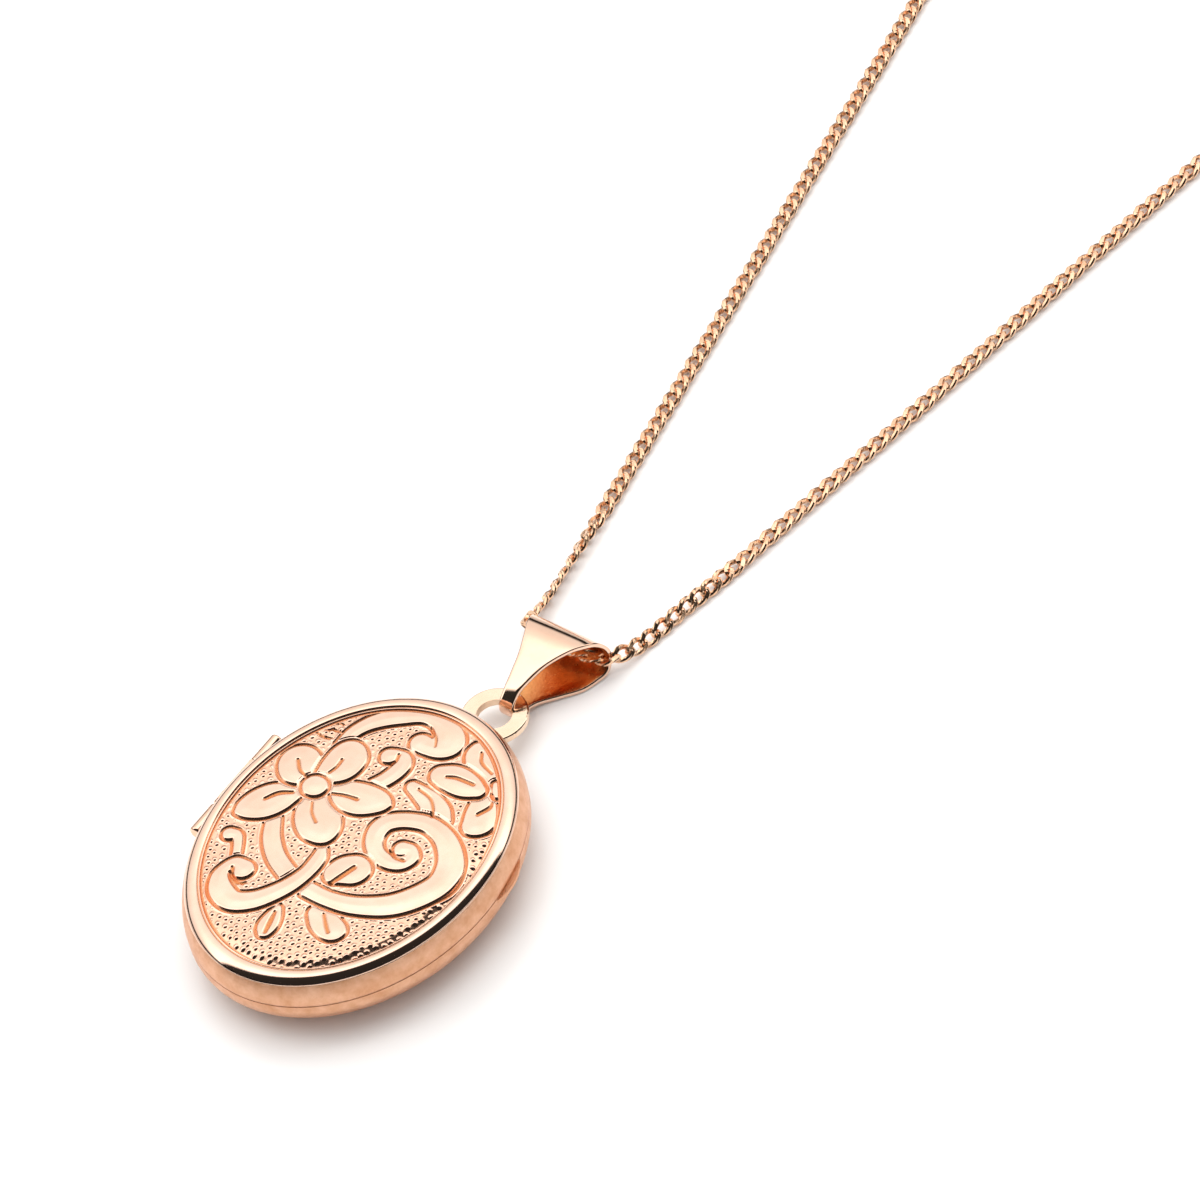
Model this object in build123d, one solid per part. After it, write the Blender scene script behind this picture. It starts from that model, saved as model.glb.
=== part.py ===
from build123d import *
from math import cos, hypot, pi, radians, sin, tan
import os

# Oval hinged locket on a fine curb chain, in millimetres.
# It lies on its back: +Z is out of the front cover, +Y points from the locket to its bail,
# the hinge is on the -X side, and the origin is the middle of the flat of the back.

# ---- case ----
CASE_LENGTH = 20.7
OVAL_RATIO = 0.81
CASE_WIDTH = CASE_LENGTH * OVAL_RATIO
HALF_LENGTH = CASE_LENGTH / 2
SHEET = 0.35
DOME_DEPTH = 2.1
DOME_RUN = 4.6
BACK_WALL_HEIGHT = 0.45
REST_TRIM = 0.02
SEAM_Z = DOME_DEPTH + BACK_WALL_HEIGHT
SEAM_GAP = 0.03
FRONT_HEIGHT = 1.65
TOP_Z = SEAM_Z + FRONT_HEIGHT
TOP_FLAT = 9.42
SHOULDER_ROUND = 0.65
SHOULDER_ANGLE = 62.0
WALL_MIDDLE = (10.24, 3.25)
PANEL_HALF_LENGTH = 8.9
PANEL_RECESS = 0.1

# ---- locating rim that the front cover closes over ----
RIM_SHEET = 0.25
RIM_REACH = 0.4
RIM_CLEARANCE = 0.05
RIM_FOOT_Z = DOME_DEPTH

# ---- photo seats ----
CARD_THICKNESS = 0.12
WINDOW_THICKNESS = 0.12
FRAME_WIDTH = 1.1
FRAME_HEIGHT = 0.36
BACK_CARD_Z = 1.7
FRONT_SEAT = 9.55
FRONT_SEAT_Z = 3.15
SEAT_CLEARANCE = 0.05

# ---- opening lip ----
LIP_REACH = 0.06
LIP_LENGTH = 3.2
LIP_HEIGHT = 0.2
LIP_DROP = 0.2
LIP_CENTRE_Y = 2.0

# ---- hinge ----
HINGE_X = -8.82
HINGE_Z = 2.2
HINGE_RADIUS = 0.4
HINGE_CENTRE_Y = 1.0
MIDDLE_KNUCKLE = 3.2
OUTER_KNUCKLE = 2.0
KNUCKLE_GAP = 0.06
KNUCKLE_ROUND = 0.15
PIN_RADIUS = 0.2
PIN_CLEARANCE = 0.03
LEAF_THICKNESS = 0.3
LEAF_DROP = 0.06
LEAF_REACH = 3.0
POST_INSET = 0.02

# ---- bail ring ----
RING_CENTRE_Y = 11.9
RING_RADIUS = 1.85
RING_HOLE = 1.0
RING_Z = 1.0
RING_THICKNESS = 0.45
TANG_WIDTH = 1.6
RING_EDGE_ROUND = 0.1

# ---- bail ----
BAIL_SHEET = 0.32
BAIL_OFFSET_X = 0.3
BAIL_EYE_RADIUS = 0.9
BAIL_EYE_ANGLE = 115.0
BAIL_AXIS_Y = RING_CENTRE_Y + (RING_RADIUS + RING_HOLE) / 2
BAIL_AXIS_Z = RING_Z + RING_THICKNESS / 2
BAIL_UPPER = [
    (14.3, 2.45), (15.5, 2.82), (16.6, 2.95), (17.6, 2.65), (18.25, 1.95), (18.5, 1.2), (18.2, 0.38)
]
BAIL_FLAT = [(17.3, 0.0), (15.9, 0.0)]
BAIL_HALF_WIDTHS = [(13.3, 0.45), (14.3, 0.69), (15.5, 1.1), (16.5, 1.68), (17.5, 2.3), (18.3, 2.33)]

# ---- chain ----
CHAIN_LENGTH = 457.0
CHAIN_SECTION = 0.6
CHAIN_REST_Z = CHAIN_SECTION / 2
CHAIN_IN_BAIL = [(-2.1, 17.8, 1.1), (2.5, 17.75, 1.1)]
LEFT_ROUTE = [
    (-2.70, 18.60, 0.95),
    (-2.97, 20.70, 0.30),
    (-3.62, 24.90, 0.30),
    (-5.00, 33.00, 0.30),
    (-6.53, 42.40, 0.30),
    (-8.10, 51.80, 0.30),
    (-9.72, 61.90, 0.30),
    (-11.14, 70.20, 0.30),
    (-12.35, 76.90, 0.30),
    (-13.15, 81.80, 0.30),
]
RIGHT_ROUTE = [
    (3.12, 18.50, 0.90),
    (3.64, 20.60, 0.30),
    (4.38, 24.70, 0.30),
    (5.72, 32.80, 0.30),
    (7.36, 42.10, 0.30),
    (8.90, 51.90, 0.30),
    (10.52, 61.70, 0.30),
    (12.02, 70.10, 0.30),
    (13.10, 76.90, 0.30),
    (13.75, 81.80, 0.30),
]
ROUND_SHARE = 0.45

# ---- stored coils of chain ----
COIL_OUTER = 6.0
COIL_INNER = 3.3
COIL_LAYER = 0.55
COIL_MARGIN = 0.5

# ---- clasp ----
CLASP_CENTRE = (1.28, 92.4, 1.05)
CLASP_RADIUS = 2.1
CLASP_TUBE = 0.6
CLASP_BORE = 0.4
BOLT_SECTION = 0.35
GAP_START, GAP_END = 15.0, 62.0
BOLT_TIP, BOLT_TAIL = 8.0, 140.0
SPRING_TAIL = 245.0
KNOB_ANGLE = 100.0
KNOB_RADIUS = 0.18
KNOB_REACH = 1.15
SLOT_WIDTH = 0.44
SLOT_MARGIN = 3.0
BOLT_TRAVEL = 50.0
EYELET_RADIUS = 0.55
LINK_RING_RADIUS = 0.85
RING_WIRE = 0.2
SPRING_WALL = 0.14
EYELET_BITE = 0.15
RING_OFFSETS = {-1: CLASP_TUBE + EYELET_RADIUS - EYELET_BITE + LINK_RING_RADIUS, 1: 0.05}


def place(part, x=0.0, y=0.0, z=0.0):
    """Move a part by a plain offset."""
    return Pos(x, y, z) * part


def oval(half_length, z, height):
    """A solid oval plate whose half length lies along Y."""
    return place(extrude(Ellipse(half_length * OVAL_RATIO, half_length), height), 0, 0, z)


def oval_ring(outer, inner, z, height):
    """A flat oval ring."""
    return oval(outer, z, height) - oval(inner, z - 1, height + 2)


def stretch(part):
    """Turn a round part into the case's oval."""
    return scale(part, by=(OVAL_RATIO, 1, 1))


def dish(inset, floor_z, top_z):
    """The body of the back: flat in the middle, domed to a straight wall."""
    reach = HALF_LENGTH - inset
    run = DOME_RUN - inset
    flat = HALF_LENGTH - DOME_RUN
    depth = DOME_DEPTH - floor_z
    curve = EllipticalCenterArc((flat, DOME_DEPTH), run, depth, 270, arc_size=90)
    outline = Polyline(
        (flat, floor_z), (0, floor_z), (0, top_z), (reach, top_z), (reach, DOME_DEPTH)
    )
    profile = Plane.YZ * make_face(curve + outline)
    return stretch(revolve(profile, Axis.Z, 360))


def back_cover():
    """Domed back shell with its straight wall, trimmed to the plane that it rests on."""
    shell = dish(0, -REST_TRIM, SEAM_Z) - dish(SHEET, SHEET, SEAM_Z + 1)
    return shell - place(Box(CASE_WIDTH, CASE_LENGTH, 1), 0, 0, -0.5)


def front_body():
    """Solid outer shape of the front: flat top, round shoulder and a wall that flares out."""
    z = SEAM_Z + SEAM_GAP
    shoulder = CenterArc(
        (TOP_FLAT, TOP_Z - SHOULDER_ROUND), SHOULDER_ROUND, 90, -SHOULDER_ANGLE
    )
    wall = ThreePointArc(shoulder @ 1, WALL_MIDDLE, (HALF_LENGTH, z))
    inside = Polyline((HALF_LENGTH, z), (0, z), (0, TOP_Z), (TOP_FLAT, TOP_Z))
    return stretch(revolve(Plane.YZ * make_face(shoulder + wall + inside), Axis.Z, 360))


def front_cover():
    """Front shell, with a bore over the locating rim, a photo seat and a sunk panel."""
    bore = oval(front_inside(), 0, FRONT_SEAT_Z)
    seat = oval(FRONT_SEAT, 0, TOP_Z - SHEET)
    panel = oval(PANEL_HALF_LENGTH, TOP_Z - PANEL_RECESS, 1)
    return front_body() - bore - seat - panel


def front_inside():
    """Half length of the front cover's bore, which clears the locating rim."""
    return HALF_LENGTH - SHEET + RIM_CLEARANCE


def locating_rim():
    """Thin oval band standing in the back shell, over which the front closes."""
    outer = HALF_LENGTH - SHEET
    return oval_ring(outer, outer - RIM_SHEET, RIM_FOOT_Z, SEAM_Z + RIM_REACH - RIM_FOOT_Z)


def opening_lip():
    """Crescent under the seam, opposite the hinge, for a thumbnail."""
    reach = HALF_LENGTH * OVAL_RATIO
    disc = Cylinder(LIP_LENGTH, LIP_HEIGHT)
    swell = place(disc, reach + LIP_REACH - LIP_LENGTH, LIP_CENTRE_Y, SEAM_Z - LIP_DROP)
    return swell - oval(HALF_LENGTH, 0, TOP_Z) - Box(CASE_WIDTH - 2, 60, 20)


def photo_stack(outer, card_z, upward):
    """Card, clear window and keeping frame, in the order they go into one half."""
    step = 1 if upward else -1
    fit = outer - SEAT_CLEARANCE

    def layer(reach, start, height):
        low = start if upward else start - height
        return oval(reach, low, height)

    card = layer(fit, card_z, CARD_THICKNESS)
    window = layer(fit, card_z + step * CARD_THICKNESS, WINDOW_THICKNESS)
    frame_start = card_z + step * (CARD_THICKNESS + WINDOW_THICKNESS)
    frame = layer(outer, frame_start, FRAME_HEIGHT)
    frame -= oval(outer - FRAME_WIDTH, frame_start - 1, 2)
    return card, window, frame


def knuckle(start, length):
    """One tube of the hinge, lying along Y, with softened end edges."""
    tube = Cylinder(HINGE_RADIUS, length)
    tube = fillet(tube.edges().filter_by(GeomType.CIRCLE), KNUCKLE_ROUND)
    return Pos(HINGE_X, start + length / 2, HINGE_Z) * (Rot(90, 0, 0) * tube)


def knuckle_spans():
    """Start and length of the lower, middle and upper knuckle."""
    low = HINGE_CENTRE_Y - MIDDLE_KNUCKLE / 2
    high = HINGE_CENTRE_Y + MIDDLE_KNUCKLE / 2
    return [
        (low - KNUCKLE_GAP - OUTER_KNUCKLE, OUTER_KNUCKLE),
        (low, MIDDLE_KNUCKLE),
        (high + KNUCKLE_GAP, OUTER_KNUCKLE),
    ]


def hinge_hole(radius):
    """A long rod on the hinge axis, used as a cutter."""
    return Pos(HINGE_X, 0, HINGE_Z) * (Rot(90, 0, 0) * Cylinder(radius, 30))


def hinge_leaf(start, length, above):
    """Short web from a knuckle to the wall of its own half; the front's rises over the seam."""
    low = SEAM_Z + LEAF_DROP if above else SEAM_Z - LEAF_DROP - LEAF_THICKNESS
    wide = length - 2 * KNUCKLE_ROUND
    middle = start + length / 2
    web = Box(LEAF_REACH, wide, LEAF_THICKNESS)
    web = place(web, HINGE_X + LEAF_REACH / 2, middle, low + LEAF_THICKNESS / 2)
    if above:
        post_height = low + LEAF_THICKNESS - HINGE_Z
        post = Box(HINGE_RADIUS - POST_INSET, wide, post_height)
        web += place(post, HINGE_X + (HINGE_RADIUS - POST_INSET) / 2, middle, HINGE_Z + post_height / 2)
    return web


def hinge_knuckles(middle):
    """The knuckles of one half, bored for the pin and fitted to the case wall."""
    lower, centre, upper = knuckle_spans()
    spans = [centre] if middle else [lower, upper]
    bore = PIN_RADIUS + (PIN_CLEARANCE if middle else 0)
    solids = []
    for start, length in spans:
        piece = knuckle(start, length) + hinge_leaf(start, length, above=middle)
        piece -= front_body() if middle else oval(HALF_LENGTH, -1, TOP_Z + 2)
        solids.append(piece - hinge_hole(bore))
    return solids


def hinge_pin():
    """Plain rod through all the knuckles, flush with their outer ends."""
    length = MIDDLE_KNUCKLE + 2 * (OUTER_KNUCKLE + KNUCKLE_GAP)
    rod = Rot(90, 0, 0) * Cylinder(PIN_RADIUS, length)
    return Pos(HINGE_X, HINGE_CENTRE_Y, HINGE_Z) * rod


def bail_ring():
    """Flat ring with a tang soldered to the back shell."""
    disc = place(Cylinder(RING_RADIUS, RING_THICKNESS), 0, RING_CENTRE_Y, BAIL_AXIS_Z)
    disc = fillet(disc.edges(), RING_EDGE_ROUND)
    tang_length = RING_CENTRE_Y - HALF_LENGTH + 1
    tang = Box(TANG_WIDTH, tang_length, RING_THICKNESS - RING_EDGE_ROUND)
    tang = place(tang, 0, RING_CENTRE_Y - tang_length / 2, BAIL_AXIS_Z)
    hole = place(Cylinder(RING_HOLE, 3), 0, RING_CENTRE_Y, BAIL_AXIS_Z)
    return disc + tang - hole - dish(0, 0, SEAM_Z)


def eye_point(angle, radius=BAIL_EYE_RADIUS):
    """Point of the bail's small eye, at an angle from +Y, in the YZ plane."""
    turn = radians(angle)
    return (BAIL_AXIS_Y + radius * cos(turn), BAIL_AXIS_Z + radius * sin(turn))


def inset_curve(curve, steps=12):
    """The same curve, moved inwards by the strip's thickness; its inside is on the right."""
    points, sides = [], []
    for step in range(steps + 1):
        at = curve @ (step / steps)
        along = curve % (step / steps)
        points.append(at + Vector(along.Y, -along.X) * BAIL_SHEET)
        sides.append(along)
    return Spline(*points, tangents=(sides[0], sides[-1]))


def bail_outline(inset):
    """Teardrop outline of the folded strip, in (Y, Z): its outside, or its inside."""
    turn = radians(BAIL_EYE_ANGLE)
    top, low = eye_point(BAIL_EYE_ANGLE), eye_point(-BAIL_EYE_ANGLE)
    upper = Spline(top, *BAIL_UPPER, BAIL_FLAT[0], tangents=((sin(turn), -cos(turn)), (-1, 0)))
    lower = Spline(BAIL_FLAT[1], low, tangents=((-1, 0), (-sin(turn), -cos(turn))))
    if not inset:
        return make_face(upper + Line(*BAIL_FLAT) + lower + ThreePointArc(low, eye_point(180), top))
    upper, lower = inset_curve(upper), inset_curve(lower)
    inner = BAIL_EYE_RADIUS - BAIL_SHEET
    eye = ThreePointArc(lower @ 1, eye_point(180, inner), upper @ 0)
    return make_face(upper + Line(upper @ 1, lower @ 0) + lower + eye)


def bail():
    """Tapered strip folded into a teardrop whose narrow eye holds the ring."""
    section = bail_outline(inset=False) - bail_outline(inset=True)
    band = Plane.YZ * extrude(section, 4, both=True)
    right = [(BAIL_OFFSET_X + w, y) for y, w in BAIL_HALF_WIDTHS]
    left = [(BAIL_OFFSET_X - w, y) for y, w in BAIL_HALF_WIDTHS]
    edge_right = Spline(*right, tangents=((0, 1), (0, 1)))
    edge_left = Spline(*left, tangents=((0, 1), (0, 1)))
    past_fold, past_eye = 20, 12
    close = Polyline(right[-1], (right[-1][0], past_fold), (left[-1][0], past_fold), left[-1])
    base = Polyline(right[0], (right[0][0], past_eye), (left[0][0], past_eye), left[0])
    shape = make_face(edge_right + edge_left + close + base)
    return band & extrude(shape, 8, both=True)


def corner_radii(points):
    """Radius of each corner: a share of its shorter run over the tangent of half the turn."""
    radii = []
    for before, here, after in zip(points, points[1:], points[2:]):
        run_in = Vector(*here) - Vector(*before)
        run_out = Vector(*after) - Vector(*here)
        turn = radians(run_in.get_angle(run_out))
        shorter = min(run_in.length, run_out.length)
        radii.append(ROUND_SHARE * shorter / tan(turn / 2))
    return radii


def chain_tube(name, points):
    """Plain tube along a stretch of chain; prints its corners and its volume check."""
    if len(points) == 2:
        path = Line(*points)
    else:
        radii = corner_radii(points)
        path = FilletPolyline(*points, radius=radii)
        print(name, "radii", [round(radius, 1) for radius in radii])
    section = Plane(origin=path @ 0, z_dir=path % 0) * Circle(CHAIN_SECTION / 2)
    tube = sweep(section, path=path)
    expected = pi * (CHAIN_SECTION / 2) ** 2 * path.length
    print(name, "length", round(path.length, 2), "volume ratio", round(tube.volume / expected, 4))
    return tube, path.length


def coil_centre(route, side):
    """Centre of a coil whose outer turn the strand enters in its own direction."""
    (x0, y0, _), (x1, y1, _) = route[-2:]
    run = hypot(x1 - x0, y1 - y0)
    return (x1 - side * COIL_OUTER * (y1 - y0) / run, y1 + side * COIL_OUTER * (x1 - x0) / run)


def chain_coil(route, side):
    """Outer shape of one coil: two layers of turns."""
    x, y = coil_centre(route, side)
    height = CHAIN_SECTION + COIL_LAYER
    ring = Cylinder(COIL_OUTER + COIL_MARGIN, height) - Cylinder(COIL_INNER - COIL_MARGIN, height + 1)
    return place(ring, x, y, height / 2)


def tail_route(route, side):
    """From the top of a coil, down and round to the clasp's end ring."""
    x, y, _ = route[-1]
    end_x = CLASP_CENTRE[0] + side * (CLASP_RADIUS + RING_OFFSETS[side] + LINK_RING_RADIUS)
    return [
        (x, y + 0.6, COIL_LAYER + CHAIN_REST_Z),
        (x - side * 0.05, y + 3.2, 0.62),
        (x - side * 1.2, y + 6.6, CHAIN_REST_Z),
        (x - side * 3.7, y + 9.3, CHAIN_REST_Z),
        (end_x + side * 2.6, CLASP_CENTRE[1] - 0.1, 0.55),
        (end_x + side * 0.1, CLASP_CENTRE[1], CLASP_CENTRE[2]),
    ]


def ring_arc(major, minor, start, end):
    """Part of a torus in the clasp's plane, between two angles."""
    centre = Vector(*CLASP_CENTRE)
    turn = radians(start)
    path = CenterArc(centre, major, start, end - start)
    plane = Plane(
        origin=centre + Vector(major * cos(turn), major * sin(turn), 0),
        z_dir=(-sin(turn), cos(turn), 0),
    )
    return sweep(plane * Circle(minor), path=path)


def at_clasp(part, angle=0.0, radius=0.0):
    """Place a part on the clasp's circle, turned to face outwards."""
    return Pos(*CLASP_CENTRE) * (Rot(0, 0, angle) * (Pos(radius, 0, 0) * part))


def clasp_body():
    """Hollow ring with an opening, and a slot for the bolt's knob."""
    shell = ring_arc(CLASP_RADIUS, CLASP_TUBE, GAP_END, 360 + GAP_START)
    bore = ring_arc(CLASP_RADIUS, CLASP_BORE, GAP_END - 2, 360 + GAP_START + 2)
    plug = ring_arc(CLASP_RADIUS, CLASP_BORE, SPRING_TAIL, 350)
    slot_box = Box(2.0, SLOT_WIDTH, SLOT_WIDTH)
    body = shell - bore + plug
    steps = 16
    sweep_angle = BOLT_TRAVEL + 2 * SLOT_MARGIN
    for step in range(steps + 1):
        angle = KNOB_ANGLE - SLOT_MARGIN + sweep_angle * step / steps
        body -= at_clasp(slot_box, angle, CLASP_RADIUS + 1.0)
    return body


def clasp_bolt():
    """Curved bolt that closes the opening, with its thumb knob."""
    bolt = ring_arc(CLASP_RADIUS, BOLT_SECTION, BOLT_TIP, BOLT_TAIL)
    knob = Rot(0, 90, 0) * Cylinder(KNOB_RADIUS, KNOB_REACH)
    return bolt + at_clasp(knob, KNOB_ANGLE, CLASP_RADIUS + KNOB_REACH / 2)


def clasp_spring():
    """Spring behind the bolt, as a sleeve of its outer shape."""
    outer = ring_arc(CLASP_RADIUS, BOLT_SECTION, BOLT_TAIL + 1, SPRING_TAIL - 1)
    return outer - ring_arc(CLASP_RADIUS, BOLT_SECTION - SPRING_WALL, BOLT_TAIL, SPRING_TAIL)


def clasp_eyelet():
    """Small fixed loop on the side of the clasp."""
    reach = CLASP_RADIUS + CLASP_TUBE + EYELET_RADIUS - EYELET_BITE
    loop = at_clasp(Torus(EYELET_RADIUS, RING_WIRE), 180, reach)
    return loop - ring_arc(CLASP_RADIUS, CLASP_TUBE, 100, 260)


def end_ring(side):
    """Upright ring that joins one end of the chain to the clasp."""
    ring = Rot(90, 0, 0) * Torus(LINK_RING_RADIUS, RING_WIRE)
    return at_clasp(ring, 0, side * (CLASP_RADIUS + RING_OFFSETS[side]))


def export(name, solids):
    """Write one node as a STEP file."""
    parts = solids if isinstance(solids, list) else [solids]
    pieces = [solid for part in parts for solid in part.solids()]
    shape = pieces[0] if len(pieces) == 1 else Compound(children=pieces)
    shape.label = name
    export_step(shape, f"parts/{name}.step")


def main():
    os.makedirs("parts", exist_ok=True)
    rim_inside = HALF_LENGTH - SHEET - RIM_SHEET
    back_card, back_window, back_frame = photo_stack(rim_inside, BACK_CARD_Z, upward=True)
    front_card, front_window, front_frame = photo_stack(FRONT_SEAT, TOP_Z - SHEET, upward=False)
    left_tube, left_length = chain_tube("chain_left", LEFT_ROUTE)
    right_tube, right_length = chain_tube("chain_right", RIGHT_ROUTE)
    left_tail, left_tail_length = chain_tube("chain_left_tail", tail_route(LEFT_ROUTE, -1))
    right_tail, right_tail_length = chain_tube("chain_right_tail", tail_route(RIGHT_ROUTE, 1))
    held, held_length = chain_tube("chain_in_bail", CHAIN_IN_BAIL)
    shown = left_length + right_length + left_tail_length + right_tail_length + held_length
    print("length left for the two coils", round(CHAIN_LENGTH - shown, 1))
    nodes = {
        "back_cover": back_cover(),
        "front_cover": front_cover(),
        "locating_rim": locating_rim(),
        "opening_lip": opening_lip(),
        "back_photo_card": back_card,
        "back_photo_window": back_window,
        "back_photo_frame": back_frame,
        "front_photo_card": front_card,
        "front_photo_window": front_window,
        "front_photo_frame": front_frame,
        "hinge_knuckles_back": hinge_knuckles(middle=False),
        "hinge_knuckle_front": hinge_knuckles(middle=True),
        "hinge_pin": hinge_pin(),
        "bail_ring": bail_ring(),
        "bail": bail(),
        "chain_in_bail": held,
        "chain_left": left_tube,
        "chain_right": right_tube,
        "chain_left_coil": chain_coil(LEFT_ROUTE, -1),
        "chain_right_coil": chain_coil(RIGHT_ROUTE, 1),
        "chain_left_tail": left_tail,
        "chain_right_tail": right_tail,
        "clasp_body": clasp_body(),
        "clasp_bolt": clasp_bolt(),
        "clasp_spring": clasp_spring(),
        "clasp_eyelet": clasp_eyelet(),
        "left_end_ring": end_ring(-1),
        "right_end_ring": end_ring(1),
    }
    for name, solids in nodes.items():
        export(name, solids)


main()
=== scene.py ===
import bpy
import numpy as np
from math import atan2, cos, hypot, pi, radians, sin
from mathutils import Matrix, Vector


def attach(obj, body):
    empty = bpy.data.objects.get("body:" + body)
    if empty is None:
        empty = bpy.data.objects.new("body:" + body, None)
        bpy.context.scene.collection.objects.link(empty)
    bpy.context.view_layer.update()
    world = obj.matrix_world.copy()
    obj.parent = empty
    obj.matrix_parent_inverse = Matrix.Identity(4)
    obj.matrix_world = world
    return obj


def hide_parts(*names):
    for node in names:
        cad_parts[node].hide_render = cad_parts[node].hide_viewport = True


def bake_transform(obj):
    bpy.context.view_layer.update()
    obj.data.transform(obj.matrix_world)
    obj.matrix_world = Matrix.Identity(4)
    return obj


# Rose gold oval locket with an engraved front, on a fine diamond-cut curb chain.
# Lengths are in millimetres and are multiplied by MM where a Blender object is made, except
# the distances and sizes of the lights and the depth of bump, which are in metres.

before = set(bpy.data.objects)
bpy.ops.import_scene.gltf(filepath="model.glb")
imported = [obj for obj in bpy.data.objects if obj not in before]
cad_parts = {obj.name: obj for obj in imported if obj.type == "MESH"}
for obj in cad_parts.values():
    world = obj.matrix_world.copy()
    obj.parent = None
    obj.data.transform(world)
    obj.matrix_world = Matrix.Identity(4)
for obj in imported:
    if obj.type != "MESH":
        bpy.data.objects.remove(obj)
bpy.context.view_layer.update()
MM = 0.001

# ---- camera: where it stands, turned about the point that it looks at ----
CAMERA_TARGET = (-0.59, 21.913, 0.0)
CAMERA_DISTANCE = 447.5
CAMERA_AZIMUTH = 46.79
CAMERA_ELEVATION = 47.62
CAMERA_ROLL = 14.58
CAMERA_LENS = 251.97

# ---- case ----
OVAL_RATIO = 0.81
PANEL_HALF_LENGTH = 8.9
RIM_FLAT_END = 9.42
SHOULDER_ROUND = 0.65
SHOULDER_ANGLE = 62
SEAM_HALF_LENGTH = 10.35
BORE_HALF_LENGTH = 10.05
SEAT_HALF_LENGTH = 9.55
TOP_Z = 4.2
SEAM_Z = 2.58
SEAT_Z = 3.15
CEILING_Z = 3.85
CEILING_REACH = 4.0
WALL_POWER = 1.83
PANEL_COLUMNS = 292
PANEL_ROWS = 338
GROUND_Z = 4.09
PANEL_DOME = 0.08

# ---- engraving ----
MOTIF_HEIGHT = 0.08
MOTIF_EDGE = 0.07
MOTIF_CROWN = 0.015
GROOVE_AWAY = 0.08
GROOVE_DEPTH = 0.07
GROOVE_WIDTH = 0.065
# width of the band of painted shade along each groove
GROOVE_SHADE_WIDTH = 0.08
RIDGE_AWAY = 0.2
RIDGE_HEIGHT = 0.05
RIDGE_WIDTH = 0.04
COVER_FADE = (-0.29, -0.24)
VEIN_DEPTH = 0.08
BEAD_SPACING = 0.43
BEAD_RADIUS = 0.15
BEAD_HEIGHT = 0.065
# share of painted shade on the ground between the beads
BEAD_GAP_SHADE = 0.28
BEAD_ROW_RATIO = 0.87
DIP_SIDE = (0.73, -0.68)
DIP_DEPTH = 0.17
HAND_WAVE = 0.01
# painted shade round the panel's edge
EDGE_SHADE = 0.8

# ---- chain ----
PITCH = 0.92
LINK_WIRE = 0.31
LINK_WIDTH = 1.0
LINK_TWIST = radians(-45)
LINK_FACET = 0.2
LINK_STEPS = 20
LINK_SIDES = 8
LINK_LOOK_ALONG = 0.4
FLOOR_GAP = 0.01
TURN_ANGLE = radians(54)
TURN_START = 2.6
TURN_RISE = 1.6
TURN_FADE = (5.0, 10.5)
TURN_WOBBLE = radians(5)
START_IN_BAIL = (0.15, 17.78, 1.1)
LEFT_MOUTH = [(-1.2, 17.79, 1.1), (-2.2, 17.95, 1.08)]
RIGHT_MOUTH = [(1.5, 17.77, 1.1), (2.5, 17.85, 1.06)]
LEFT_ROUTE = [
    (-2.70, 18.60, 0.95),
    (-2.97, 20.70, 0.30),
    (-3.62, 24.90, 0.30),
    (-5.00, 33.00, 0.30),
    (-6.53, 42.40, 0.30),
    (-8.10, 51.80, 0.30),
    (-9.72, 61.90, 0.30),
    (-11.14, 70.20, 0.30),
    (-12.35, 76.90, 0.30),
    (-13.15, 81.80, 0.30),
]
RIGHT_ROUTE = [
    (3.12, 18.50, 0.90),
    (3.64, 20.60, 0.30),
    (4.38, 24.70, 0.30),
    (5.72, 32.80, 0.30),
    (7.36, 42.10, 0.30),
    (8.90, 51.90, 0.30),
    (10.52, 61.70, 0.30),
    (12.02, 70.10, 0.30),
    (13.10, 76.90, 0.30),
    (13.75, 81.80, 0.30),
]
COIL_OUTER = 6.0
COIL_INNER = 3.3
COIL_TURNS = 5
COIL_POINTS = 16
COIL_LAYER = 0.55
COIL_RISE = (0.46, 0.54)
CHAIN_REST_Z = 0.3
CLASP_Y = 92.4
CLASP_Z = 1.05
TAIL_END_X = {-1: -3.52, 1: 4.28}


def smooth(low, high, value):
    """0 below low, 1 above high, and a soft step between them."""
    t = np.clip((value - low) / (high - low), 0, 1)
    return t * t * (3 - 2 * t)


def new_mesh(name, vertices, faces):
    """A mesh object from points in millimetres."""
    mesh = bpy.data.meshes.new(name)
    mesh.from_pydata([tuple(p) for p in np.asarray(vertices) * MM], [], faces)
    mesh.update()
    thing = bpy.data.objects.new(name, mesh)
    bpy.context.scene.collection.objects.link(thing)
    return thing


# ---------------------------------------------------------------- engraving

# A stroke is a list of (x, y, half width); it is the sweep of a disc along a smooth line.
# The order is the order of overlap: a later motif covers an earlier one.
TOP_SCROLL = [
    (-4.1, 4.8, .5), (-4.15, 5.6, .42), (-3.85, 6.4, .45), (-3.3, 7.15, .52), (-2.5, 7.8, .52),
    (-1.4, 8.37, .42), (-.4, 8.4, .48), (.4, 8.1, .75), (.8, 7.55, .92), (.65, 7.15, .8),
    (.1, 6.85, .6), (-.5, 6.85, .6),
]
BIG_SCROLL = [
    (.2, -3.9, .5), (1.5, -3.9, .5), (3.0, -3.6, .58), (4.5, -2.8, .68), (5.5, -1.7, .74),
    (6.1, -.4, .76), (5.95, .7, .76), (5.35, 1.6, .68), (4.4, 2.3, .58), (3.25, 2.58, .52),
    (2.1, 2.3, .52), (1.3, 1.75, .56), (1.08, 1.1, .57), (1.3, .35, .5), (1.9, -.2, .45),
    (2.75, -.42, .46), (3.45, -.2, .46), (3.75, .35, .4), (3.4, .75, .38), (2.95, .62, .47),
]
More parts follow.
